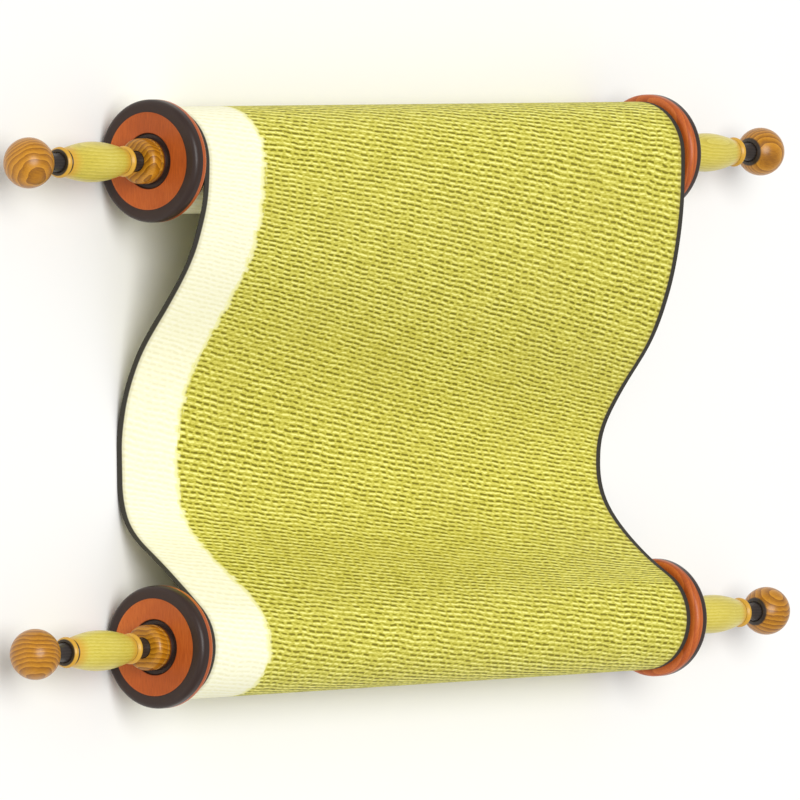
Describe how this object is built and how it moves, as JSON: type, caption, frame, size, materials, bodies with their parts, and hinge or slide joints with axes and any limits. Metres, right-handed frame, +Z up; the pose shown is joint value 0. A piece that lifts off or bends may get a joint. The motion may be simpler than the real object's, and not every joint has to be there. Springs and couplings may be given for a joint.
{
  "type": "torah scroll",
  "caption": "Open parchment scroll wound on two turned wooden rollers, its loose stretch sagging between them, lying on a table.",
  "frame": {"origin": "centre of the scroll's footprint, on the table that it lies on", "axes": "+X along the rollers from left to right, +Y from the front roller to the back one, +Z up"},
  "size_m": [0.7846, 0.3608, 0.0728],
  "materials": {
    "parchment": "matt scraped skin, cream along one long edge",
    "dark_wood": "stained almost black, waxed",
    "red_wood": "turned and oiled, with burnt lines",
    "golden_wood": "turned and polished",
    "pale_wood": "turned and polished, with golden beads"
  },
  "bodies": {
    "root": {"parchment": "parchment", "pole_back": "dark_wood", "pole_front": "dark_wood", "disc_back_left": "red_wood", "disc_back_right": "red_wood", "disc_front_left": "red_wood", "disc_front_right": "red_wood", "collar_back_left": "golden_wood", "collar_back_right": "golden_wood", "collar_front_left": "golden_wood", "collar_front_right": "golden_wood", "grip_back_left": "pale_wood", "grip_back_right": "pale_wood", "grip_front_left": "pale_wood", "grip_front_right": "pale_wood", "ball_back_left": "golden_wood", "ball_back_right": "golden_wood", "ball_front_left": "golden_wood", "ball_front_right": "golden_wood"}
  },
  "joints": []
}
